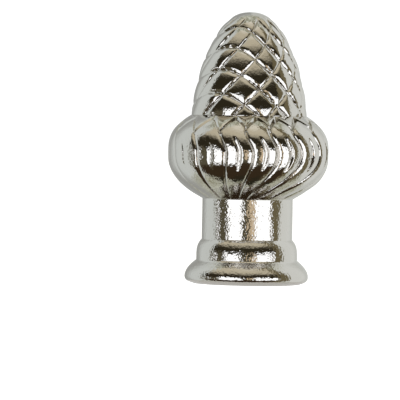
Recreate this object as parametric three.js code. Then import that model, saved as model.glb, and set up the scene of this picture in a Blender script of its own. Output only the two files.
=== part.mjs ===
// Acorn finial: one nickel-plated brass casting that stands on its flat foot.
// Millimetres, +Z up, origin at the centre of the underside.
// Every surface is one closed skin of rings, from the end of the screw hole, out over the
// underside and up the outside to the tip of the nut.
import * as THREE from 'three';

// Heights, from the underside up
const footHeight = 6.6;
const collarHeight = 5.7;
const neckHeight = 11.2;
const cupLowerHeight = 12.7;
const cupUpperHeight = 10.2;
const nutHeight = 28.6;

// Radii
const restRadius = 14.5;
const footRadius = 17.05;
const collarRadius = 13.95;
const neckRadius = 12.5;
const cupRadius = 22.3;
const nutRadius = 16.05;

// The foot's widest ring stands this far above the underside
const lipHeight = 2.2;

// Blind screw hole in the underside
const holeRadius = 4.5;
const holeDepth = 20;
const holeChamfer = 0.6;
const holePointHeight = 2.6;

// How squarely each swell leaves its widest ring
const lipPower = 3;
const flarePower = 1.85;
const shoulderPower = 3.8;
const cupLowerPower = 2.5;
const cupUpperPower = 2.65;

// Nut: the taper towards the tip and the squareness of its dome
const nutTaper = 0.15;
const nutSquareness = 2.3;

// Lattice on the nut, of lines that rise to the right and lines that fall to the right.
// Its rows of crossings are counted from the first one above the crease.
const latticeStarts = 10;
const latticeRowsToTip = 8;
const creaseRow = -0.61;
const lastCutRow = 5.6;
const fadingRows = 0.9;
const latticePhase = 31.4;
const risingGrooveWidthLow = 1.35;
const risingGrooveWidthHigh = 0.6;
const risingGrooveDepth = 0.32;
const fallingGrooveWidth = 1.35;
const fallingGrooveDepth = 0.48;
const pillowHeight = 0.2;
const pillowFlatness = 0.4;

// The lattice is cut by hand: its rows twist back and wave a little around the nut
const twistPerRow = -2.35;
const rowWaveHeight = 0.7;
const rowWaveCount = 3;
const rowWavePhase = 5;

// Lobes of the cup, each closed by an arch under the nut
const lobeCount = 16;
const lobePhase = -4.5;
const lobeCrown = 0.4;
const lobeCrownPower = 2;
const lobeGrooveWidth = 1.3;
const lobeGrooveDepth = 0.4;
const lobeRunout = 1;
const archApexDrop = 0.7;
const archJunctionDrop = 3.6;
const archPower = 1.5;
const archGrooveWidthLeft = 1.9;
const archGrooveWidthRight = 1.1;
const archNarrowsFrom = 0.3;
const archNarrowsTo = 0.7;
const archGrooveDepth = 0.4;

// The lobes are spaced unevenly. They swing to the right towards the cup's widest ring and
// back to the left below it. All in degrees.
const lobeUnevenness = 4.7;
const lobeUnevennessPhase = 35;
const lobeSwing = 5.8;
const swingEnd = 0.65;
const lobeReturn = 13;
const lobeReturnVaries = 28;
const lobeReturnPower = 1.9;

// The cutting is deepest at this longitude and this share as deep on the far side
const deepestLongitude = 12;
const shallowestShare = 0.3;
const shallowingPower = 2;

// Mesh fineness
const columnsPerDiamond = 8;
const columns = columnsPerDiamond * latticeStarts;
const ringsPerLatticeRow = 4;
const tipRings = 3;
const lobeRings = 10;

// Where the plain rings stand, as shares of the way from each swell's widest ring
const lipShares = [0.75, 0.45, 0];
const flareShares = [0.35, 0.7, 1];
const shoulderShares = [0.55, 0.85, 1];

// How far points are drawn in to the grooves, and the share of it left on the ring under the
// nut, which stands at most this share of the way from the arches to the crease
const gathering = 0.6;
const lipGathering = 0.5;
const lipClimb = 0.6;

// Levels that follow from the heights
const collarBottom = footHeight;
const neckBottom = collarBottom + collarHeight;
const cupBottom = neckBottom + neckHeight;
const cupEquator = cupBottom + cupLowerHeight;
const crease = cupEquator + cupUpperHeight;
const cupHeight = cupLowerHeight + cupUpperHeight;

const radians = THREE.MathUtils.degToRad;
const smoothstep = THREE.MathUtils.smoothstep;

// Pulls evenly spaced numbers towards the whole numbers, where the grooves are
function gather(value, amount) {
  return value - (amount * Math.sin(2 * Math.PI * value)) / (2 * Math.PI);
}

// Depth of a V groove at a distance from its line
function vGroove(distance, width, depth) {
  return depth * Math.max(0, 1 - Math.abs(distance) / (width / 2));
}

// Distance from the nearest whole number
function fromWhole(value) {
  return Math.abs(value - Math.round(value));
}

// Radius of a swell, a share of the way from its widest ring to its narrow end
function swell(widest, narrow, share, power) {
  return widest - (widest - narrow) * share ** power;
}

function place(radius, degrees, z) {
  const angle = radians(degrees) - Math.PI / 2;
  return new THREE.Vector3(radius * Math.cos(angle), radius * Math.sin(angle), z);
}

function plainLongitude(column) {
  return (column * 360) / columns;
}

// Share of a groove's full depth that is cut at a longitude
function cutShare(longitude) {
  const toward = 0.5 + 0.5 * Math.cos(radians(longitude - deepestLongitude));
  return shallowestShare + (1 - shallowestShare) * toward ** shallowingPower;
}

// Longitude of a place counted in lobes around the cup, at a height
function lobeLongitude(lobe, z) {
  const even = lobePhase + (lobe * 360) / lobeCount;
  const spaced = even + lobeUnevenness * Math.cos(radians(2 * (even + lobeUnevennessPhase)));
  const above = Math.max(0, (z - cupEquator) / cupUpperHeight);
  const below = Math.max(0, (cupEquator - z) / cupLowerHeight);
  const swung = spaced + lobeSwing * (1 - smoothstep(above, 0, swingEnd));
  const back = lobeReturn + lobeReturnVaries * Math.sin(radians(swung));
  return swung - back * below ** lobeReturnPower;
}

// A plain ring under the cup, with its points in line with the foot of the lobes.
// A ring holds its points and how deeply each one is carved.
function plainRing(radius, z) {
  const points = [];
  for (let column = 0; column < columns; column += 1) {
    const longitude = lobeLongitude((column * lobeCount) / columns, cupBottom);
    points.push(place(radius, longitude, z));
  }
  return { points, carved: new Array(columns).fill(0) };
}

// The screw hole and the underside, from the hole's closed end outwards
function holeRings() {
  return [
    plainRing(holeRadius, holeDepth),
    plainRing(holeRadius, holeChamfer),
    plainRing(holeRadius + holeChamfer, 0),
    plainRing(restRadius, 0),
  ];
}

function footRings() {
  const rings = [];
  for (const share of lipShares) {
    const radius = swell(footRadius, restRadius, share, lipPower);
    rings.push(plainRing(radius, lipHeight * (1 - share)));
  }
  for (const share of flareShares) {
    const radius = swell(footRadius, collarRadius, share, flarePower);
    rings.push(plainRing(radius, lipHeight + (footHeight - lipHeight) * share));
  }
  return rings;
}

function collarRings() {
  const rings = [];
  for (const share of shoulderShares) {
    const radius = swell(collarRadius, neckRadius, share, shoulderPower);
    rings.push(plainRing(radius, collarBottom + collarHeight * share));
  }
  return rings;
}

// Radius of the uncarved cup at a height
function cupProfile(z) {
  if (z > cupEquator) {
    return swell(cupRadius, nutRadius, (z - cupEquator) / cupUpperHeight, cupUpperPower);
  }
  return swell(cupRadius, neckRadius, (cupEquator - z) / cupLowerHeight, cupLowerPower);
}

// Height of a lobe's arch below the crease, by the share of the way across the lobe
function archDrop(across) {
  const side = Math.abs(2 * across - 1) ** archPower;
  return archApexDrop + (archJunctionDrop - archApexDrop) * side;
}

function archGrooveWidth(across) {
  const narrowed = smoothstep(across, archNarrowsFrom, archNarrowsTo);
  return THREE.MathUtils.lerp(archGrooveWidthLeft, archGrooveWidthRight, narrowed);
}

// Depth carved from the cup, at a share of the way across a lobe and a drop below the crease
function cupCarving(across, drop, longitude) {
  const radius = cupProfile(crease - drop);
  const lobeWidth = (2 * Math.PI * radius) / lobeCount;
  const belowArch = drop - archDrop(across);
  const runout = smoothstep(cupHeight - drop, 0, lobeRunout);
  const inLobe = runout * smoothstep(belowArch, 0, archGrooveWidthRight);
  const relative = radius / cupRadius;
  const crown = lobeCrown * relative * Math.abs(2 * across - 1) ** lobeCrownPower;
  const groove = vGroove(fromWhole(across) * lobeWidth, lobeGrooveWidth * relative, lobeGrooveDepth);
  const arch = vGroove(belowArch, archGrooveWidth(across), archGrooveDepth);
  const cut = cutShare(longitude);
  return Math.max(inLobe * (crown + cut * groove), cut * arch);
}

// A ring of the cup: dropAt gives its distance below the crease across each lobe
function cupRing(dropAt, gathered) {
  const points = [];
  const carved = [];
  const step = 0.01; // a short way up and down, to measure the profile's slope
  for (let column = 0; column < columns; column += 1) {
    const lobe = gather((column * lobeCount) / columns, gathering * gathered);
    const across = lobe - Math.floor(lobe);
    const drop = dropAt(across);
    const z = crease - drop;
    const longitude = lobeLongitude(lobe, z);
    const depth = cupCarving(across, drop, longitude);
    const slope = (cupProfile(z + step) - cupProfile(z - step)) / (2 * step);
    const normal = new THREE.Vector2(1, -slope).normalize();
    points.push(place(cupProfile(z) - normal.x * depth, longitude, z - normal.y * depth));
    carved.push(depth);
  }
  return { points, carved };
}

// How far above an arch the ring under the nut stands
function lipAbove(across, side) {
  return Math.min(side, lipClimb * archDrop(across));
}

// The cup, from the neck up to just under the nut
function cupRings() {
  const rings = [cupRing(() => cupHeight, 1)];
  const side = archGrooveWidthLeft / 2;
  for (let ring = lobeRings - 1; ring >= 0; ring -= 1) {
    const share = ring / lobeRings;
    rings.push(cupRing((across) => THREE.MathUtils.lerp(archDrop(across) + side, cupHeight, share), 1));
  }
  rings.push(cupRing(archDrop, 1));
  rings.push(cupRing((across) => archDrop(across) - lipAbove(across, side), lipGathering));
  return rings;
}

// Outline of the nut, from the crease to the tip
class NutOutline extends THREE.Curve {
  getPoint(share, target = new THREE.Vector2()) {
    const angle = (share * Math.PI) / 2;
    const rise = Math.sin(angle);
    const round = Math.max(0, Math.cos(angle)) ** (2 / nutSquareness);
    return target.set(nutRadius * (1 - nutTaper * rise) * round, crease + nutHeight * rise);
  }
}

const nutOutline = new NutOutline();
const nutLength = nutOutline.getLength();
const rowStep = nutLength / latticeRowsToTip;
const lastRow = lastCutRow + fadingRows;
const tipRow = creaseRow + latticeRowsToTip;

// Depth carved from the nut at a place in the lattice
function nutCarving(rising, falling, radius, longitude) {
  const row = falling - rising;
  const diamond = (2 * Math.PI * radius) / latticeStarts;
  const across = (diamond * rowStep) / Math.hypot(diamond / 2, rowStep);
  const fade = 1 - smoothstep(row, lastCutRow, lastRow);
  const crown = Math.abs(Math.sin(Math.PI * rising) * Math.sin(Math.PI * falling)) ** pillowFlatness;
  const climbed = THREE.MathUtils.clamp(row / lastCutRow, 0, 1);
  const risingWidth = THREE.MathUtils.lerp(risingGrooveWidthLow, risingGrooveWidthHigh, climbed);
  const risingGroove = vGroove(fromWhole(rising) * across, risingWidth, risingGrooveDepth);
  const fallingGroove = vGroove(fromWhole(falling) * across, fallingGrooveWidth, fallingGrooveDepth);
  const cut = cutShare(longitude) * Math.max(risingGroove, fallingGroove);
  return fade * (pillowHeight * (1 - crown) + cut);
}

// Height that the waving of the rows adds at a longitude, none at the crease and the tip
function rowWave(row, longitude) {
  const held = smoothstep(row, creaseRow, creaseRow + 1) * (1 - smoothstep(row, lastCutRow, lastRow));
  return held * rowWaveHeight * Math.sin(radians(rowWaveCount * (longitude - rowWavePhase)));
}

// A ring of the nut, drawn in towards the grooves between the crease and the tip
function latticeRing(evenRow) {
  const points = [];
  const carved = [];
  const held = smoothstep(evenRow, creaseRow, 0) * (1 - smoothstep(evenRow, lastCutRow, lastRow));
  for (let column = 0; column < columns; column += 1) {
    const turns = ((plainLongitude(column) - latticePhase) * latticeStarts) / 360;
    const rising = gather(turns - evenRow / 2, gathering * held);
    const falling = gather(turns + evenRow / 2, gathering * held);
    const row = falling - rising;
    const longitude = latticePhase + ((rising + falling) * 180) / latticeStarts + twistPerRow * row;
    const distance = (row - creaseRow) * rowStep + rowWave(row, longitude);
    const share = THREE.MathUtils.clamp(distance / nutLength, 0, 1);
    const outline = nutOutline.getPointAt(share);
    const tangent = nutOutline.getTangentAt(share);
    const depth = nutCarving(rising, falling, outline.x, longitude);
    points.push(place(outline.x - tangent.y * depth, longitude, outline.y + tangent.x * depth));
    carved.push(depth);
  }
  return { points, carved };
}

// The nut, with a ring on every quarter row, so that points fall on the crossings
function nutRings() {
  const rings = [latticeRing(creaseRow)];
  const firstStep = Math.ceil(creaseRow * ringsPerLatticeRow);
  for (let step = firstStep; step <= lastRow * ringsPerLatticeRow; step += 1) {
    rings.push(latticeRing(step / ringsPerLatticeRow));
  }
  for (let ring = 1; ring <= tipRings; ring += 1) {
    rings.push(latticeRing(THREE.MathUtils.lerp(lastRow, tipRow, ring / (tipRings + 1))));
  }
  return rings;
}

// Joins neighbouring rings, with each square split along the groove that crosses it
function joinRings(rings) {
  const triangles = [];
  for (let ring = 0; ring + 1 < rings.length; ring += 1) {
    const low = rings[ring];
    const high = rings[ring + 1];
    for (let column = 0; column < columns; column += 1) {
      const next = (column + 1) % columns;
      const a = ring * columns + column;
      const b = ring * columns + next;
      const c = a + columns;
      const d = b + columns;
      const alongBC = low.carved[next] + high.carved[column];
      const alongAD = low.carved[column] + high.carved[next];
      if (alongBC > alongAD) {
        triangles.push(a, b, c, b, d, c);
      } else {
        triangles.push(a, b, d, a, d, c);
      }
    }
  }
  return triangles;
}

// The closed skin: a pole at the hole's end, the rings, and a pole at the nut's tip
function finialGeometry() {
  const rings = [
    ...holeRings(),
    ...footRings(),
    ...collarRings(),
    ...cupRings(),
    ...nutRings(),
  ];
  const points = rings.flatMap((ring) => ring.points);
  const triangles = joinRings(rings);
  const holeEnd = points.push(new THREE.Vector3(0, 0, holeDepth + holePointHeight)) - 1;
  const tip = points.push(new THREE.Vector3(0, 0, crease + nutHeight)) - 1;
  const lastRing = (rings.length - 1) * columns;
  for (let column = 0; column < columns; column += 1) {
    const next = (column + 1) % columns;
    triangles.push(holeEnd, next, column);
    triangles.push(tip, lastRing + column, lastRing + next);
  }
  const geometry = new THREE.BufferGeometry().setFromPoints(points);
  geometry.setIndex(triangles);
  geometry.computeVertexNormals();
  return geometry;
}

const nickel = new THREE.MeshStandardMaterial({
  color: new THREE.Color(0.8, 0.78, 0.74),
  roughness: 0.12,
  metalness: 1,
});

const finial = new THREE.Mesh(finialGeometry(), nickel);
finial.name = 'acorn_finial';

const part = new THREE.Group();
part.add(finial);

export default part;
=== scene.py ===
"""A nickel-plated acorn finial, standing on a pale floor in plain soft light."""
import math

import bpy
import numpy as np
from mathutils import Matrix, Vector, noise


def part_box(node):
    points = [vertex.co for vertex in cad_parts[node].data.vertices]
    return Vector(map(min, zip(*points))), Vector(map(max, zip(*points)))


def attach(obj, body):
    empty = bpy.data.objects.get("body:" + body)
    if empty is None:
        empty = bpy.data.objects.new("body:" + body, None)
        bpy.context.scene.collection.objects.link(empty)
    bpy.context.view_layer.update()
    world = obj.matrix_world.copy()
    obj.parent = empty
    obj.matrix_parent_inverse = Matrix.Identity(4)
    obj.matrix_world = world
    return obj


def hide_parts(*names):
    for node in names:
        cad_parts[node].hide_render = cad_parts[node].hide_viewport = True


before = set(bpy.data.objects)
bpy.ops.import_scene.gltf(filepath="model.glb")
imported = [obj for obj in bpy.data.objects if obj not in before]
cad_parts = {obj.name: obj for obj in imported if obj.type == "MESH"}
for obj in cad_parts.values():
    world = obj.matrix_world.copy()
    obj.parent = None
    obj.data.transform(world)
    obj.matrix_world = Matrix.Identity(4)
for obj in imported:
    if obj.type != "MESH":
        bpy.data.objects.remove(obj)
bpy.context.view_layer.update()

NODE = "acorn_finial"
node_low, node_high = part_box(NODE)

# The casting's sizes below are in millimetres of a finial 75 high, scaled to the frame.
# Longitudes are degrees round it, from 0 at the front, and grow to the right.
NOMINAL_HEIGHT = 75.0
MM = (node_high.z - node_low.z) / NOMINAL_HEIGHT

# Heights. The lip is the rounded lower edge of the foot.
LIP_HEIGHT = 2.2
FOOT_HEIGHT = 6.6
COLLAR_HEIGHT = 5.7
NECK_HEIGHT = 11.2
CUP_LOWER_HEIGHT = 12.7
CUP_UPPER_HEIGHT = 10.2
NUT_HEIGHT = 28.6

# Radii
REST_RADIUS = 14.5
FOOT_RADIUS = 17.05
COLLAR_RADIUS = 13.95
NECK_RADIUS = 12.5
CUP_RADIUS = 22.3
NUT_RADIUS = 16.05

# Screw hole, with a chamfer at its mouth and a drill point at its end
HOLE_RADIUS = 4.5
HOLE_DEPTH = 20.0
HOLE_CHAMFER = 0.6
HOLE_POINT = 2.6

# Powers of the rounded stretches: a higher one is squarer
LIP_POWER = 3.0
FLARE_POWER = 1.85
SHOULDER_POWER = 3.8
CUP_LOWER_POWER = 2.5
CUP_UPPER_POWER = 2.65

# Outline of the nut: the share of its width lost on the way up, and its squareness
NUT_TAPER = 0.15
NUT_SQUARENESS = 2.3

# Profile of a scored line: the depth of its flanks and the width of its middle, as shares of
# its width, and how much deeper the middle is
FLANK_STEEPNESS = 0.13
MIDDLE_WIDTH = 0.3
MIDDLE_DEPTH = 0.2

# Lattice of the nut, cut by hand. Rising lines climb to the right at one slope. Falling lines
# climb to the left, but flatten and arch over on the left of the front. Steps are measured
# up the nut's outline, and a start is where a line crosses the front.
RISING_STARTS = 10
RISING_STEP = 9.8
RISING_START = 4.3
RISING_WIDTH_LOW = 1.9
RISING_WIDTH_HIGH = 0.9
FALLING_STARTS = 8
FALLING_STEP = 7.6
FALLING_START = 1.9
FALLING_WIDTH = 2.1
ARCHING = 39.0
ARCHING_SPREAD = 51.4
ARCHING_MIDDLE = -75.0
ARCHING_SHIFT = 0.8
LATTICE_FADES = 27.5
LATTICE_ENDS = 30.5
PILLOW = 0.32
PILLOW_FLATNESS = 0.6

# Lobes of the cup, with a scored line between each two, which run out above the neck
LOBES = 16
LOBE_PHASE = -4.5
LOBE_CROWN = 0.4
LOBE_CROWN_POWER = 2.0
LOBE_GROOVE_WIDTH = 1.7
LOBE_RUNOUT = 1.0

# How much bolder those lines are on the right, and the longitudes over which they grow
BOLDER_RIGHT = 0.4
BOLDER_FROM = (-5.0, 25.0)

# Flat-bottomed vein in the middle of each lobe, centred on a height above the floor
VEIN_WIDTH = 1.5
VEIN_FLOOR = 0.5
VEIN_DEPTH = 0.65
VEIN_MIDDLE = 36.0
VEIN_REACH = 4.9

# Ledge along the small arches under the crease. It is nearest to the crease at their tops
# and drops to the lobes' lines, further on the left, and it narrows across each arch.
ARCH_APEX = 0.7
ARCH_JUNCTION = 3.3
ARCH_LOWER_LEFT = 1.2
ARCH_LOWER_FROM = (-27.0, -5.0)
ARCH_POWER = 1.5
ARCH_WIDTH_LEFT = 1.4
ARCH_WIDTH_RIGHT = 1.0
ARCH_NARROWS = (0.3, 0.7)
ARCH_STEEPNESS = 0.95
ARCH_DEEPEST = 0.75

# Lean of the lobes, in degrees: they are unevenly spaced, swing to the right on the way down
# to the widest level, and turn back below it by an amount that varies round the cup
UNEVENNESS = 4.7
UNEVENNESS_PHASE = 35.0
SWING = 5.8
SWING_END = 0.65
RETURN = 13.0
RETURN_VARIES = 28.0
RETURN_POWER = 1.9

# Share of the full depth that the cutting fades to, and the longitudes where it fades
SHALLOWEST = 0.25
LINES_FADE_LEFT = (-56.0, -42.0)
ARCHES_FADE_LEFT = (-30.0, -12.0)
NUT_FADES_LEFT = (-62.0, -42.0)
FADES_BACK = (100.0, 150.0)

# Length and share of the cutter's chatter, and length and height of the skin's waves
RIPPLE_WAVE = 1.3
RIPPLE = 0.7
SKIN_WAVE = 4.0
SKIN_HEIGHT = 0.08

# Fineness of the mesh. Columns gather at the lobes' lines and veins, and rings crowd up
# towards the arches. The nut's skin starts at a root sunk in the cup.
BODY_COLUMNS = 560
GATHERING = 0.6
CREASE_GATHERING = 0.2
CUP_RINGS = 100
CROWDING = 1.3
ARCH_RINGS = 24
ARCH_RINGS_REACH = 0.8
NUT_COLUMNS = 520
NUT_RINGS = 178
NUT_ROOT = 0.4

# Where the base has its rings, as shares of the height of each stretch
LIP_SHARES = np.linspace(0.97, 0, 10)
FLARE_SHARES = np.linspace(0.12, 1, 9)
SHOULDER_SHARES = (0.015, 0.3, 0.5, 0.62, 0.72, 0.8, 0.87, 0.93, 0.975, 1)
NECK_SHARES = (0.01, 0.34, 0.67, 0.99)

# Levels
NECK_BOTTOM = FOOT_HEIGHT + COLLAR_HEIGHT
CUP_BOTTOM = NECK_BOTTOM + NECK_HEIGHT
CUP_EQUATOR = CUP_BOTTOM + CUP_LOWER_HEIGHT
CREASE = CUP_EQUATOR + CUP_UPPER_HEIGHT
CUP_HEIGHT = CUP_LOWER_HEIGHT + CUP_UPPER_HEIGHT

# Nickel, and the fine pebbles and grains of its cast skin, which are stronger below the cup
NICKEL_COLOUR = (0.63, 0.605, 0.56)
NICKEL_ROUGHNESS = 0.06
PEBBLE_SIZE = 0.9
PEBBLE_HEIGHT = 0.06
GRAIN_SIZE = 0.55
GRAIN_HEIGHT = 0.05
STRENGTH_BELOW_CUP = 1.15
STRENGTH_ABOVE_CUP = 0.6

# Colours of the dark room in front, from its top down, and of its wall on the right
ZENITH = (0.94, 0.9, 0.79)
CEILING = (0.7, 0.64, 0.5)
ROOM = (0.035, 0.029, 0.017)
HORIZON = (0.13, 0.115, 0.075)
LOW_ROOM = (0.05, 0.033, 0.018)
NADIR = (0.03, 0.028, 0.017)
RIGHT_WALL = (0.2, 0.17, 0.1)

# Elevations, or azimuths to the right, between which each of them begins or ends
ZENITH_BEGINS = (60.0, 85.0)
CEILING_BEGINS = (26.0, 54.0)
HORIZON_BAND = (-26.0, 6.0)
HORIZON_SOFTNESS = 10.0
LOW_ROOM_ENDS = (-30.0, -20.0)
NADIR_ENDS = (-80.0, -60.0)
RIGHT_WALL_BAND = (66.0, 90.0)
RIGHT_WALL_SOFTNESS = 6.0

# Soft boxes in that room, one of them dim and warm: left, right, bottom, top and light
SOFT_BOXES = [
    (-82, -77, -10, 4, (1.7, 1.76, 1.88)),
    (-51, -11, -24, 8, (1.8, 1.86, 1.98)),
    (5, 18, -12, 6, (0.88, 0.71, 0.51)),
    (20, 63, -24, 8, (1.8, 1.86, 1.98)),
]
BOX_SOFTNESS_ACROSS = 3.0
BOX_SOFTNESS_UP = 4.0

# White sheet at the sides and behind, greyer at its back, and the angles of its parts
SHEET_LEFT = (0.78, 0.83, 0.84)
SHEET_RIGHT = (0.89, 0.92, 0.92)
BACK_LEFT = (0.42, 0.43, 0.42)
BACK_RIGHT = (0.66, 0.68, 0.66)
SHEET_BEGINS = (86.0, 94.0)
BACK_LEFT_BEGINS = (122.0, 155.0)
BACK_RIGHT_BEGINS = (130.0, 160.0)
BACK_BAND = (-50.0, 50.0)
BACK_SOFTNESS = 30.0
LEFT_TO_RIGHT = (-20.0, 20.0)
SHEET_TOP = (46.0, 64.0)
SHEET_FOOT = (-50.0, -36.0)

# Mottled surround above and below the sheet
MOTTLE_SCALE = 9.0
MOTTLE_RANGE = (0.4, 0.62)
MOTTLE_DARK = (0.36, 0.36, 0.26)
MOTTLE_PALE = (0.8, 0.83, 0.75)

# Backdrop that the camera sees, a little over white so that it stays clean
BACKDROP = (1.15, 1.15, 1.15)

# The photograph's frame: its size in pixels, and where the finial stands in it
FRAME_PX = 400
AXIS_PX = 247.6
TIP_PX = 11.3
REST_PX = 283.1
ROLL = 1.03
CAMERA_DISTANCE = 1080.0
CAMERA_LEVEL = CREASE


def smooth(value, low, high):
    """0 below low, 1 above high, and a smooth rise between."""
    share = np.clip((value - low) / (high - low), 0, 1)
    return share * share * (3 - 2 * share)


def gather(value, amount):
    """Pulls evenly spaced numbers towards the wholes and halves."""
    return value - amount * np.sin(4 * np.pi * value) / (4 * np.pi)


def from_whole(value):
    """Distance to the nearest whole number."""
    return np.abs(value - np.round(value))


def centred(longitude):
    """The same longitude, between -180 and 180."""
    return (longitude + 180) % 360 - 180


def noise_at(points, wave):
    """Smooth noise about zero at each point, with waves of this length."""
    return np.array([noise.noise(Vector(p) / wave) for p in points])


def groove(distance, width, depth):
    """Depth of a rounded groove."""
    return depth * np.clip(1 - (2 * distance / width) ** 2, 0, 1)


def notch(distance, width, depth, floor=0.0):
    """Depth of a V groove, or of a flat-bottomed one with this share of its width as floor."""
    return depth * np.clip((1 - np.abs(2 * distance / width)) / (1 - floor), 0, 1)


def ledge(below, width, depth):
    """Depth of a groove whose upper side is wide and whose lower side is steep."""
    upper = (below / width + 0.5) / ARCH_DEEPEST
    lower = (0.5 - below / width) / (1 - ARCH_DEEPEST)
    return depth * np.clip(np.minimum(upper, lower), 0, 1)


def scored(distance, width):
    """Depth of a line scored in the casting: two shallow flanks and a narrow deeper middle."""
    flanks = notch(distance, width, FLANK_STEEPNESS * width)
    return flanks + groove(distance, MIDDLE_WIDTH * width, MIDDLE_DEPTH)


def swell(widest, narrow, share, power):
    """Radius of a rounded stretch, from its widest level at 0 to its narrowest at 1."""
    return widest - (widest - narrow) * share ** power


def place(radius, degrees, z):
    """Points of one ring, as columns of x, y and z."""
    angle = np.radians(degrees) - np.pi / 2
    even = np.ones(len(degrees))
    return np.stack([radius * np.cos(angle), radius * np.sin(angle), z * even], axis=1)


def on_front(longitude, rise):
    """1 on the front, rising to it between two longitudes and falling off towards the back."""
    turned = centred(longitude)
    return smooth(turned, *rise) * (1 - smooth(turned, *FADES_BACK))


def cut_depth(longitude, fades_left):
    """Share of the full depth that the grooves reach at a longitude."""
    return SHALLOWEST + (1 - SHALLOWEST) * on_front(longitude, fades_left)


def ripple(points):
    """Uneven share of a groove's depth at each point, where the cutter chattered."""
    return 1 + RIPPLE * noise_at(points, RIPPLE_WAVE)


def hole_rings(longitude):
    """The screw hole and the flat ring that the finial rests on."""
    outline = [(HOLE_RADIUS, HOLE_DEPTH), (HOLE_RADIUS, HOLE_CHAMFER)]
    outline += [(HOLE_RADIUS + HOLE_CHAMFER, 0), (HOLE_RADIUS + 2 * HOLE_CHAMFER, 0)]
    outline += [(REST_RADIUS - HOLE_CHAMFER, 0), (REST_RADIUS, 0)]
    return [place(radius, longitude, z) for radius, z in outline]


def base_rings(longitude):
    """The foot, the collar and the neck, from the underside up."""
    outline = []
    for share in LIP_SHARES:
        radius = swell(FOOT_RADIUS, REST_RADIUS, share, LIP_POWER)
        outline.append((radius, LIP_HEIGHT * (1 - share)))
    for share in FLARE_SHARES:
        radius = swell(FOOT_RADIUS, COLLAR_RADIUS, share, FLARE_POWER)
        outline.append((radius, LIP_HEIGHT + (FOOT_HEIGHT - LIP_HEIGHT) * share))
    for share in SHOULDER_SHARES:
        radius = swell(COLLAR_RADIUS, NECK_RADIUS, share, SHOULDER_POWER)
        outline.append((radius, FOOT_HEIGHT + COLLAR_HEIGHT * share))
    for share in NECK_SHARES:
        outline.append((NECK_RADIUS, NECK_BOTTOM + NECK_HEIGHT * share))
    return [place(radius, longitude, z) for radius, z in outline]


def above_equator(z):
    return np.clip((z - CUP_EQUATOR) / CUP_UPPER_HEIGHT, 0, 1)


def below_equator(z):
    return np.clip((CUP_EQUATOR - z) / CUP_LOWER_HEIGHT, 0, 1)


def cup_profile(z):
    """Radius of the plain cup at a height."""
    upper = swell(CUP_RADIUS, NUT_RADIUS, above_equator(z), CUP_UPPER_POWER)
    lower = swell(CUP_RADIUS, NECK_RADIUS, below_equator(z), CUP_LOWER_POWER)
    return np.where(z > CUP_EQUATOR, upper, lower)


def column_lobes(gathered):
    """Each column's place across the lobes, in lobes; their lines are at the wholes."""
    even = np.arange(BODY_COLUMNS) * 360 / BODY_COLUMNS
    return gather(even * LOBES / 360, GATHERING * gathered)


def lobe_longitude(lobe, z):
    """Longitude of a line across the lobes, which lean sideways below the arches."""
    longitude = LOBE_PHASE + lobe * 360 / LOBES
    longitude = longitude + UNEVENNESS * np.cos(np.radians(2 * (longitude + UNEVENNESS_PHASE)))
    swung = longitude + SWING * (1 - smooth(above_equator(z), 0, SWING_END))
    back = RETURN + RETURN_VARIES * np.sin(np.radians(swung))
    return swung - back * below_equator(z) ** RETURN_POWER


def arch_drop(lobe):
    """How far below the crease the edge of the arches runs; it dips at the lobes' lines."""
    side = (2 * from_whole(lobe + 0.5)) ** ARCH_POWER
    line = centred(LOBE_PHASE + np.round(lobe) * 360 / LOBES)
    junction = ARCH_JUNCTION + ARCH_LOWER_LEFT * (1 - smooth(line, *ARCH_LOWER_FROM))
    return ARCH_APEX + (junction - ARCH_APEX) * side


def arch_width(across):
    """Width of the ledge, by the share of the way across a lobe."""
    wider = 1 - smooth(across, *ARCH_NARROWS)
    return ARCH_WIDTH_RIGHT + (ARCH_WIDTH_LEFT - ARCH_WIDTH_RIGHT) * wider


def cup_carving(lobe, drop, longitude):
    """Depth cut from the cup, by the place across the lobes, the drop below the crease and
    the longitude."""
    across = lobe - np.floor(lobe)
    radius = cup_profile(CREASE - drop)
    relative = radius / CUP_RADIUS
    lobe_width = 2 * np.pi * radius / LOBES
    below_arch = drop - arch_drop(lobe)
    in_lobe = smooth(below_arch, 0, ARCH_WIDTH_RIGHT) * smooth(CUP_HEIGHT - drop, 0, LOBE_RUNOUT)
    crown = LOBE_CROWN * relative * np.abs(2 * across - 1) ** LOBE_CROWN_POWER
    bolder = 1 + BOLDER_RIGHT * on_front(longitude, BOLDER_FROM)
    line = bolder * scored(from_whole(across) * lobe_width, LOBE_GROOVE_WIDTH * relative * bolder)
    hollow = np.clip(1 - ((CREASE - drop - VEIN_MIDDLE) / VEIN_REACH) ** 2, 0, 1)
    vein = hollow * notch((across - 0.5) * lobe_width, VEIN_WIDTH * relative, VEIN_DEPTH, VEIN_FLOOR)
    arch = ledge(below_arch, arch_width(across), ARCH_STEEPNESS * arch_width(across))
    line_cut = cut_depth(longitude, LINES_FADE_LEFT)
    cut = cut_depth(longitude, ARCHES_FADE_LEFT)
    return np.maximum(in_lobe * (cut * (crown + vein) + line_cut * line), cut * arch)


def cup_ring(lobe, drop):
    """One ring of the cup, with each column at its own drop below the crease."""
    step = 0.01
    z = CREASE - drop
    longitude = lobe_longitude(lobe, z)
    depth = cup_carving(lobe, drop, longitude)
    slope = (cup_profile(z + step) - cup_profile(z - step)) / (2 * step)
    size = np.hypot(1, slope)
    return place(cup_profile(z) - depth / size, longitude, z + slope / size * depth)


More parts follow.
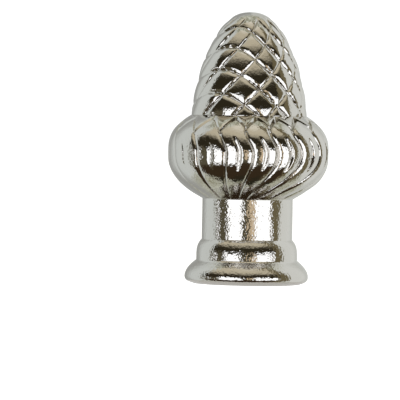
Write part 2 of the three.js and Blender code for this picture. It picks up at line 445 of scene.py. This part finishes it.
def cup_rings():
    """The cup, from the neck up to the arches, through their ledge and on to the crease."""
    lip = ARCH_WIDTH_LEFT / 2
    rings = []
    lobe = column_lobes(1)
    start = arch_drop(lobe) + lip
    for share in np.linspace(1, 0, CUP_RINGS) ** CROWDING:
        rings.append(cup_ring(lobe, start + (CUP_HEIGHT - start) * share))
    for share in np.linspace(1, -1, ARCH_RINGS)[1:]:
        lobe = column_lobes(0.5 + 0.5 * max(0, share))
        edge = arch_drop(lobe)
        reach = lip if share > 0 else np.minimum(lip, ARCH_RINGS_REACH * edge)
        rings.append(cup_ring(lobe, edge + reach * share))
    lobe = column_lobes(CREASE_GATHERING)
    rings.append(cup_ring(lobe, 0 * lobe))
    return rings


class NutOutline:
    """The nut's outline by length along it, from the crease to the tip."""

    def __init__(self, samples=2000):
        angle = np.linspace(0, np.pi / 2, samples)
        rise = np.sin(angle)
        rounding = np.clip(np.cos(angle), 0, 1) ** (2 / NUT_SQUARENESS)
        self.radius = NUT_RADIUS * (1 - NUT_TAPER * rise) * rounding
        self.z = CREASE + NUT_HEIGHT * rise
        steps = np.hypot(np.diff(self.radius), np.diff(self.z))
        self.along = np.concatenate([[0], np.cumsum(steps)])
        self.length = self.along[-1]

    def at(self, distance):
        """Radius and height at a distance along it."""
        radius = np.interp(distance, self.along, self.radius)
        return radius, np.interp(distance, self.along, self.z)


nut_outline = NutOutline()

# Millimetres that the falling lines come down per degree where they don't arch
FALLING_RATE = (FALLING_STARTS * FALLING_STEP + ARCHING) / 360


def arching_middle(along):
    """Longitude about which the falling lines arch, at a distance up the nut's outline."""
    return ARCHING_MIDDLE + ARCHING_SHIFT * along


def falling_rise(longitude, along):
    """How far the falling lines come down from the front to a longitude."""
    front = -arching_middle(along)
    turned = centred(longitude + front)
    arched = np.tanh(turned / ARCHING_SPREAD) - np.tanh(front / ARCHING_SPREAD)
    return FALLING_RATE * (turned - front) - ARCHING / 2 * arched


def falling_slope(longitude, along):
    """Millimetres that a falling line comes down per degree."""
    turned = centred(longitude - arching_middle(along))
    return FALLING_RATE - ARCHING / 2 / ARCHING_SPREAD / np.cosh(turned / ARCHING_SPREAD) ** 2


def nut_carving(along, longitude, radius, chatter):
    """Depth cut from the nut, by the distance up its outline and the longitude."""
    turned = centred(longitude)
    rising_slope = RISING_STARTS * RISING_STEP / 360
    rising = (along - rising_slope * turned - RISING_START) / RISING_STEP
    falling = (along + falling_rise(turned, along) - FALLING_START) / FALLING_STEP
    degree = np.radians(1) * np.maximum(radius, 1)
    rising_squeeze = np.hypot(1, rising_slope / degree)
    falling_squeeze = np.hypot(1, falling_slope(turned, along) / degree)
    rising_away = from_whole(rising) * RISING_STEP / rising_squeeze
    falling_away = from_whole(falling) * FALLING_STEP / falling_squeeze
    height = np.clip(along / LATTICE_FADES, 0, 1)
    rising_width = RISING_WIDTH_LOW + (RISING_WIDTH_HIGH - RISING_WIDTH_LOW) * height
    lines = np.maximum(scored(rising_away, rising_width), scored(falling_away, FALLING_WIDTH))
    crown = np.abs(np.sin(np.pi * rising) * np.sin(np.pi * falling)) ** PILLOW_FLATNESS
    fade = 1 - smooth(along, LATTICE_FADES, LATTICE_ENDS)
    return fade * (PILLOW * (1 - crown) + cut_depth(longitude, NUT_FADES_LEFT) * chatter * lines)


def nut_ring(along, longitude):
    """One ring of the nut, carved square to its outline."""
    step = 0.02
    radius, z = nut_outline.at(along)
    radius_before, z_before = nut_outline.at(along - step)
    radius_after, z_after = nut_outline.at(along + step)
    run, climb = radius_after - radius_before, z_after - z_before
    size = np.hypot(run, climb)
    depth = nut_carving(along, longitude, radius, ripple(place(radius, longitude, z)))
    return place(radius - climb / size * depth, longitude, z + run / size * depth)


def nut_rings():
    """The nut, from a root sunk in the cup up to just under its tip."""
    longitude = 360 * np.arange(NUT_COLUMNS) / NUT_COLUMNS
    rings = [place(NUT_RADIUS - NUT_ROOT, longitude, CREASE - NUT_ROOT)]
    distances = np.linspace(0, nut_outline.length, NUT_RINGS)[:-1]
    return rings + [nut_ring(along, longitude) for along in distances]


def with_cast_skin(grid, plain_rings):
    """The grid with the slow waves of a cast skin, but for its first rings."""
    around = np.roll(grid, -1, axis=1) - np.roll(grid, 1, axis=1)
    normal = np.cross(around, np.gradient(grid, axis=0))
    normal /= np.maximum(np.linalg.norm(normal, axis=2, keepdims=True), 1e-9)
    shift = SKIN_HEIGHT * noise_at(grid.reshape(-1, 3), SKIN_WAVE)
    shift = shift.reshape(*grid.shape[:2], 1)
    shift[:plain_rings] = 0
    return grid + normal * shift


def closed_faces(count, columns):
    """Faces between the rings, and fans from the end rings to the two points after the grid."""
    bottom, top = count * columns, count * columns + 1
    last = (count - 1) * columns
    faces = []
    for column in range(columns):
        after = (column + 1) % columns
        faces.append((bottom, after, column))
        faces.append((top, last + column, last + after))
        for start in range(0, last, columns):
            above = start + columns
            faces.append((start + column, start + after, above + after, above + column))
    return faces


def make_casting(name, rings, plain_rings, low, high, material):
    """One closed skin through the rings, ending in a point on the axis at each height."""
    grid = with_cast_skin(np.array(rings), plain_rings)
    points = list(map(tuple, grid.reshape(-1, 3) * MM))
    points += [(0, 0, low * MM), (0, 0, high * MM)]
    faces = closed_faces(*grid.shape[:2])
    mesh = bpy.data.meshes.new(name)
    mesh.from_pydata(points, [], faces)
    mesh.polygons.foreach_set("use_smooth", [True] * len(faces))
    mesh.materials.append(material)
    mesh.validate()
    mesh.update()
    piece = bpy.data.objects.new(name, mesh)
    bpy.context.scene.collection.objects.link(piece)
    return piece


class Nodes:
    """Short calls for a node tree."""

    def __init__(self, tree):
        self.tree = tree
        self.tree.nodes.clear()

    def add(self, kind, **settings):
        node = self.tree.nodes.new(kind)
        for name, value in settings.items():
            setattr(node, name, value)
        return node

    def feed(self, node, socket, value):
        """Links a socket to another node's output, or sets its own value."""
        if isinstance(value, bpy.types.NodeSocket):
            self.tree.links.new(value, node.inputs[socket])
        else:
            node.inputs[socket].default_value = value

    def math(self, operation, *values):
        node = self.add("ShaderNodeMath", operation=operation)
        for index, value in enumerate(values):
            self.feed(node, index, value)
        return node.outputs[0]

    def ramp(self, value, low, high, to_low=0.0, to_high=1.0):
        """A smooth change from to_low to to_high while the value goes from low to high."""
        node = self.add("ShaderNodeMapRange", interpolation_type="SMOOTHSTEP")
        for socket, number in zip(range(5), (value, low, high, to_low, to_high)):
            self.feed(node, socket, number)
        return node.outputs[0]

    def fall(self, value, low, high):
        """1 below low, 0 above high, and a smooth fall between."""
        return self.ramp(value, low, high, 1.0, 0.0)

    def band(self, value, low, high, soft):
        """1 between low and high, falling to 0 over the soft width at each end."""
        rise = self.ramp(value, low - soft / 2, low + soft / 2)
        fall = self.fall(value, high - soft / 2, high + soft / 2)
        return self.math("MULTIPLY", rise, fall)

    def mix(self, share, first, second):
        """The first colour at share 0 and the second at share 1."""
        node = self.add("ShaderNodeMix", data_type="RGBA")
        self.feed(node, 0, share)
        self.feed(node, 6, first if isinstance(first, bpy.types.NodeSocket) else (*first, 1))
        self.feed(node, 7, second if isinstance(second, bpy.types.NodeSocket) else (*second, 1))
        return node.outputs[2]

    def noise(self, vector, scale, detail=2.0, roughness=0.5):
        node = self.add("ShaderNodeTexNoise")
        self.feed(node, "Vector", vector)
        self.feed(node, "Scale", scale)
        self.feed(node, "Detail", detail)
        self.feed(node, "Roughness", roughness)
        return node.outputs[0]

    def bump(self, height, distance, normal=None):
        node = self.add("ShaderNodeBump")
        self.feed(node, "Height", height)
        self.feed(node, "Distance", distance)
        if normal is not None:
            self.feed(node, "Normal", normal)
        return node.outputs[0]


def nickel_material():
    """Bright nickel over a cast skin: a warm mirror with a fine pebbled unevenness."""
    material = bpy.data.materials.new("nickel_plate")
    material.use_nodes = True
    nodes = Nodes(material.node_tree)
    on_object = nodes.add("ShaderNodeTexCoord").outputs["Object"]
    split = nodes.add("ShaderNodeSeparateXYZ")
    nodes.feed(split, 0, on_object)
    levels = (CUP_BOTTOM * MM, CREASE * MM)
    strength = nodes.ramp(split.outputs[2], *levels, STRENGTH_BELOW_CUP, STRENGTH_ABOVE_CUP)
    pebbles = nodes.noise(on_object, 1 / (PEBBLE_SIZE * MM), detail=2.0)
    grains = nodes.noise(on_object, 1 / (GRAIN_SIZE * MM), detail=1.0)
    normal = nodes.bump(nodes.math("MULTIPLY", strength, pebbles), PEBBLE_HEIGHT * MM)
    normal = nodes.bump(nodes.math("MULTIPLY", strength, grains), GRAIN_HEIGHT * MM, normal)
    shader = nodes.add("ShaderNodeBsdfPrincipled")
    nodes.feed(shader, "Base Color", (*NICKEL_COLOUR, 1))
    nodes.feed(shader, "Metallic", 1.0)
    nodes.feed(shader, "Roughness", NICKEL_ROUGHNESS)
    nodes.feed(shader, "Normal", normal)
    output = nodes.add("ShaderNodeOutputMaterial")
    nodes.feed(output, 0, shader.outputs[0])
    return material


def dark_room(nodes, azimuth, elevation):
    """Colour of the room in front: dark under a bright ceiling, with the soft boxes in it."""
    colour = nodes.mix(nodes.ramp(elevation, *CEILING_BEGINS), ROOM, CEILING)
    colour = nodes.mix(nodes.ramp(elevation, *ZENITH_BEGINS), colour, ZENITH)
    colour = nodes.mix(nodes.fall(elevation, *LOW_ROOM_ENDS), colour, LOW_ROOM)
    colour = nodes.mix(nodes.band(elevation, *HORIZON_BAND, HORIZON_SOFTNESS), colour, HORIZON)
    on_wall = nodes.band(azimuth, *RIGHT_WALL_BAND, RIGHT_WALL_SOFTNESS)
    colour = nodes.mix(on_wall, colour, RIGHT_WALL)
    for left, right, bottom, top, light in SOFT_BOXES:
        across = nodes.band(azimuth, left, right, BOX_SOFTNESS_ACROSS)
        up = nodes.band(elevation, bottom, top, BOX_SOFTNESS_UP)
        colour = nodes.mix(nodes.math("MULTIPLY", across, up), colour, light)
    return nodes.mix(nodes.fall(elevation, *NADIR_ENDS), colour, NADIR)


def white_sheet(nodes, azimuth, aside, elevation):
    """Colour of the sheet at the sides and behind."""
    level = nodes.band(elevation, *BACK_BAND, BACK_SOFTNESS)
    on_left_back = nodes.math("MULTIPLY", level, nodes.ramp(aside, *BACK_LEFT_BEGINS))
    on_right_back = nodes.math("MULTIPLY", level, nodes.ramp(aside, *BACK_RIGHT_BEGINS))
    left = nodes.mix(on_left_back, SHEET_LEFT, BACK_LEFT)
    right = nodes.mix(on_right_back, SHEET_RIGHT, BACK_RIGHT)
    return nodes.mix(nodes.ramp(azimuth, *LEFT_TO_RIGHT), left, right)


def studio_world():
    """What the nickel mirrors, a dark room in front and a sheet behind; the camera sees white."""
    world = bpy.data.worlds.new("studio")
    world.use_nodes = True
    nodes = Nodes(world.node_tree)
    direction = nodes.add("ShaderNodeTexCoord").outputs["Generated"]
    split = nodes.add("ShaderNodeSeparateXYZ")
    nodes.feed(split, 0, direction)
    x, y, z = split.outputs
    toward = nodes.math("MULTIPLY", y, -1.0)
    azimuth = nodes.math("DEGREES", nodes.math("ARCTAN2", x, toward))
    elevation = nodes.math("DEGREES", nodes.math("ARCSINE", z))
    aside = nodes.math("ABSOLUTE", azimuth)

    mottling = nodes.ramp(nodes.noise(direction, MOTTLE_SCALE), *MOTTLE_RANGE)
    surround = nodes.mix(mottling, MOTTLE_DARK, MOTTLE_PALE)
    behind = nodes.ramp(aside, *SHEET_BEGINS)
    colour = nodes.mix(behind, dark_room(nodes, azimuth, elevation), surround)
    on_sheet = nodes.math("MULTIPLY", behind, nodes.fall(elevation, *SHEET_TOP))
    on_sheet = nodes.math("MULTIPLY", on_sheet, nodes.ramp(elevation, *SHEET_FOOT))
    colour = nodes.mix(on_sheet, colour, white_sheet(nodes, azimuth, aside, elevation))

    seen = nodes.add("ShaderNodeLightPath").outputs["Is Camera Ray"]
    background = nodes.add("ShaderNodeBackground")
    nodes.feed(background, "Color", nodes.mix(seen, colour, BACKDROP))
    output = nodes.add("ShaderNodeOutputWorld")
    nodes.feed(output, 0, background.outputs[0])
    bpy.context.scene.world = world


def floor_material(name, grey, glow):
    """Plain paper that lights itself a little."""
    material = bpy.data.materials.new(name)
    material.use_nodes = True
    nodes = Nodes(material.node_tree)
    shader = nodes.add("ShaderNodeBsdfPrincipled")
    nodes.feed(shader, "Base Color", (grey, grey, grey, 1))
    nodes.feed(shader, "Roughness", 0.9)
    nodes.feed(shader, "Specular IOR Level", 0.0)
    nodes.feed(shader, "Emission Color", (1, 1, 1, 1))
    nodes.feed(shader, "Emission Strength", glow)
    output = nodes.add("ShaderNodeOutputMaterial")
    nodes.feed(output, 0, shader.outputs[0])
    return material


def make_disc(name, radius, z, material, sides=96):
    """A flat disc that belongs to the stage."""
    turn = 2 * math.pi / sides
    points = [(radius * math.cos(turn * k), radius * math.sin(turn * k), z) for k in range(sides)]
    mesh = bpy.data.meshes.new(name)
    mesh.from_pydata(points, [], [tuple(range(sides))])
    mesh.materials.append(material)
    disc = bpy.data.objects.new(name, mesh)
    bpy.context.scene.collection.objects.link(disc)
    return disc


def make_floor():
    """A wide pale floor, and a small grey disc in it that the camera doesn't see: painted shade of
    the paper under the finial, which the foot's edge mirrors.
    """
    pale = floor_material("pale_floor", grey=0.85, glow=0.8)
    floor = make_disc("floor", radius=4.0, z=0, material=pale)
    floor.visible_glossy = False
    # Painted shade: a dimly glowing grey disc, seen only in reflections, stands in for the paper
    # shaded under the finial
    grey = floor_material("painted_shade_floor", grey=0.45, glow=0.5)
    mirrored_shade = make_disc("painted_shade_disc", radius=FOOT_RADIUS * MM, z=0.02 * MM, material=grey)
    mirrored_shade.visible_camera = False


def make_camera():
    """Level with the crease under the nut, turned so that the finial stands as framed."""
    data = bpy.data.cameras.new("camera")
    data.sensor_width = 36.0
    pixels_per_mm = (REST_PX - TIP_PX) / NOMINAL_HEIGHT
    data.lens = pixels_per_mm * CAMERA_DISTANCE * data.sensor_width / FRAME_PX
    data.clip_start, data.clip_end = 0.05, 20.0
    camera = bpy.data.objects.new("camera", data)
    bpy.context.scene.collection.objects.link(camera)
    eye = Vector((0, -CAMERA_DISTANCE * MM, CAMERA_LEVEL * MM))
    aim = Vector((
        (FRAME_PX / 2 - AXIS_PX) / pixels_per_mm * MM,
        0,
        (REST_PX - FRAME_PX / 2) / pixels_per_mm * MM,
    ))
    turn = (aim - eye).to_track_quat("-Z", "Y").to_matrix()
    turn = turn @ Matrix.Rotation(math.radians(ROLL), 3, "Z")
    camera.matrix_world = Matrix.Translation(eye) @ turn.to_4x4()
    bpy.context.scene.camera = camera


make_camera()
studio_world()
make_floor()
bpy.context.scene.view_settings.view_transform = "Standard"

nickel = nickel_material()
below_cup = lobe_longitude(column_lobes(1), CUP_BOTTOM)
hole = hole_rings(below_cup)
body_rings = hole + base_rings(below_cup) + cup_rings()
hole_end = HOLE_DEPTH + HOLE_POINT
body = make_casting("acorn_finial_body", body_rings, len(hole), hole_end, CREASE, nickel)
nut = make_casting("acorn_finial_nut", nut_rings(), 1, CREASE - NUT_ROOT, NOMINAL_HEIGHT, nickel)
for piece in (body, nut):
    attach(piece, "root")
    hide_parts(NODE)
